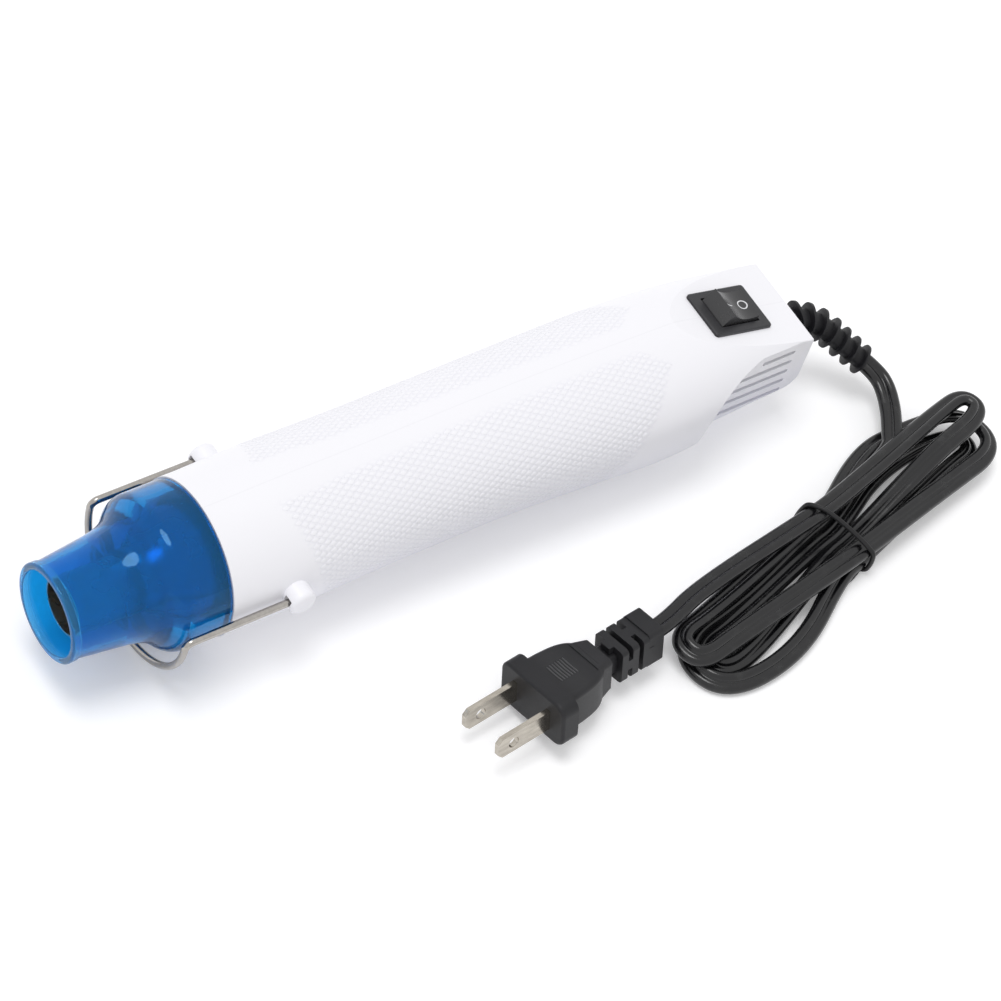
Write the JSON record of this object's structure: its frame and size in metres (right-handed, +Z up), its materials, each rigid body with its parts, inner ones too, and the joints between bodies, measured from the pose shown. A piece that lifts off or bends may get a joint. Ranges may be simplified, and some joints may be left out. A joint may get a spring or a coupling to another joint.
{
  "type": "embossing heat tool",
  "caption": "Small hot air tool for craft work, with a white two-half barrel, flared clear blue nozzle guard, fold-out wire stand, rocker switch and tied mains cord.",
  "frame": {"origin": "on the table, under the middle of the tool lying on its folded stand", "axes": "+X along the barrel from the nozzle to the tail, +Z up, switch on top"},
  "size_m": [0.2737, 0.1129, 0.0462],
  "materials": {
    "housing": "moulded, satin, with a fine raised grip pattern",
    "guard": "moulded, clear blue, heat resistant",
    "steel_tube": "drawn steel",
    "mica": "pressed mica",
    "resistance_wire": "drawn resistance wire",
    "cutout_case": "ceramic case",
    "fan_plastic": "moulded",
    "steel_shaft": "ground steel",
    "motor_can": "zinc plated",
    "motor_plastic": "moulded",
    "bracket_plastic": "moulded, heat resistant",
    "board": "phenolic laminate",
    "capacitor_sleeve": "shrunk sleeve",
    "diode_body": "moulded",
    "switch_plastic": "moulded",
    "rocker_plastic": "moulded, polished",
    "terminal_brass": "stamped",
    "screw_steel": "blackened",
    "stand_wire": "plated wire",
    "relief_rubber": "moulded",
    "cord_jacket": "soft vinyl",
    "tie_plastic": "coated wire tie",
    "plug_plastic": "moulded vinyl",
    "heater_lead_sleeve": "woven glass sleeve",
    "lead_vinyl": "extruded vinyl",
    "blade_nickel": "nickel plated brass"
  },
  "bodies": {
    "root": {"housing_left": "housing", "housing_right": "housing", "nozzle_guard": "guard", "hot_air_tube": "steel_tube", "mica_liner": "mica", "mica_card": "mica", "heating_coil": "resistance_wire", "thermal_cutout": "cutout_case", "motor": "motor_can", "motor_end_cap": "motor_plastic", "motor_bracket": "bracket_plastic", "circuit_board": "board", "capacitor": "capacitor_sleeve", "rectifier_diodes": "diode_body", "switch_body": "switch_plastic", "switch_terminals": "terminal_brass", "housing_screws": "screw_steel", "strain_relief": "relief_rubber", "cord": "cord_jacket", "cord_hank": "cord_jacket", "hank_tie": "tie_plastic", "plug_body": "plug_plastic", "plug_blades": "blade_nickel", "heater_leads": "heater_lead_sleeve", "motor_leads": "lead_vinyl", "switch_lead": "lead_vinyl", "mains_leads": "lead_vinyl"},
    "stand": {"stand_bail": "stand_wire"},
    "rotor": {"fan_impeller": "fan_plastic", "motor_shaft": "steel_shaft"},
    "rocker": {"switch_rocker": "rocker_plastic"}
  },
  "joints": [
    {"name": "stand_swing", "type": "hinge", "parent": "root", "child": "stand", "pos_m": [-0.05425, 0, 0.0264], "axis": [0, -1, 0], "range_deg": [0, 95]},
    {"name": "rocker_tilt", "type": "hinge", "parent": "root", "child": "rocker", "pos_m": [0.09197, 0, 0.03774], "axis": [0, -1, 0], "range_deg": [0, 24]},
    {"name": "fan_spin", "type": "hinge", "parent": "root", "child": "rotor", "pos_m": [-0.00575, 0, 0.0244], "axis": [1, 0, 0], "continuous": true}
  ]
}
